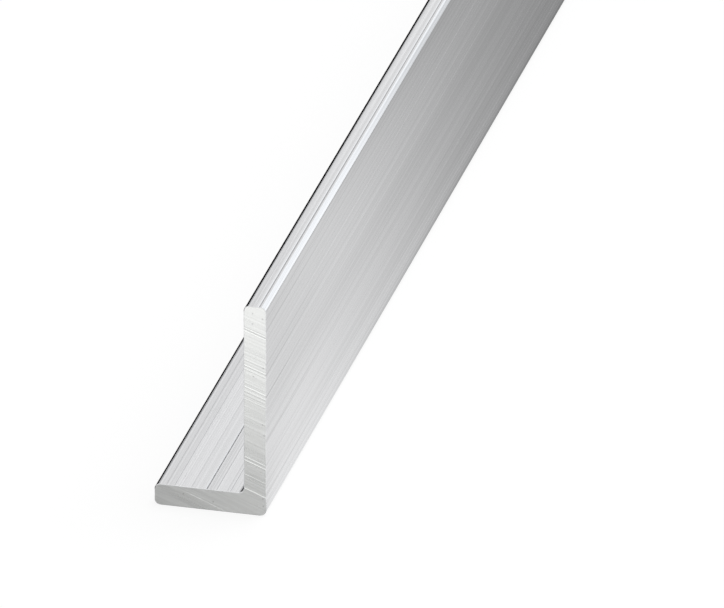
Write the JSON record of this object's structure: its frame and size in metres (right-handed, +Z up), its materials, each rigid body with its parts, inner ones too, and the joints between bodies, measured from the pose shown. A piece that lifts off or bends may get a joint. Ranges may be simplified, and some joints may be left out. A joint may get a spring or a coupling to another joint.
{
  "type": "aluminium angle profile",
  "caption": "Unequal-leg angle bar of raw mill-finish aluminium: an extruded L section with rounded heel and toes, a small root fillet and square sawn ends, for trim and light framing.",
  "frame": {"origin": "middle of the bar's footprint, at the underside of the foot", "axes": "+Y along the bar, away from the sawn end that the picture shows; +X from the foot's toe to the heel; +Z up the long leg"},
  "size_m": [0.01, 1, 0.02],
  "materials": {
    "mill_aluminium": "raw mill finish with fine die lines along the length and saw marks on the cut ends"
  },
  "bodies": {
    "root": {"angle_profile": "mill_aluminium"}
  },
  "joints": []
}
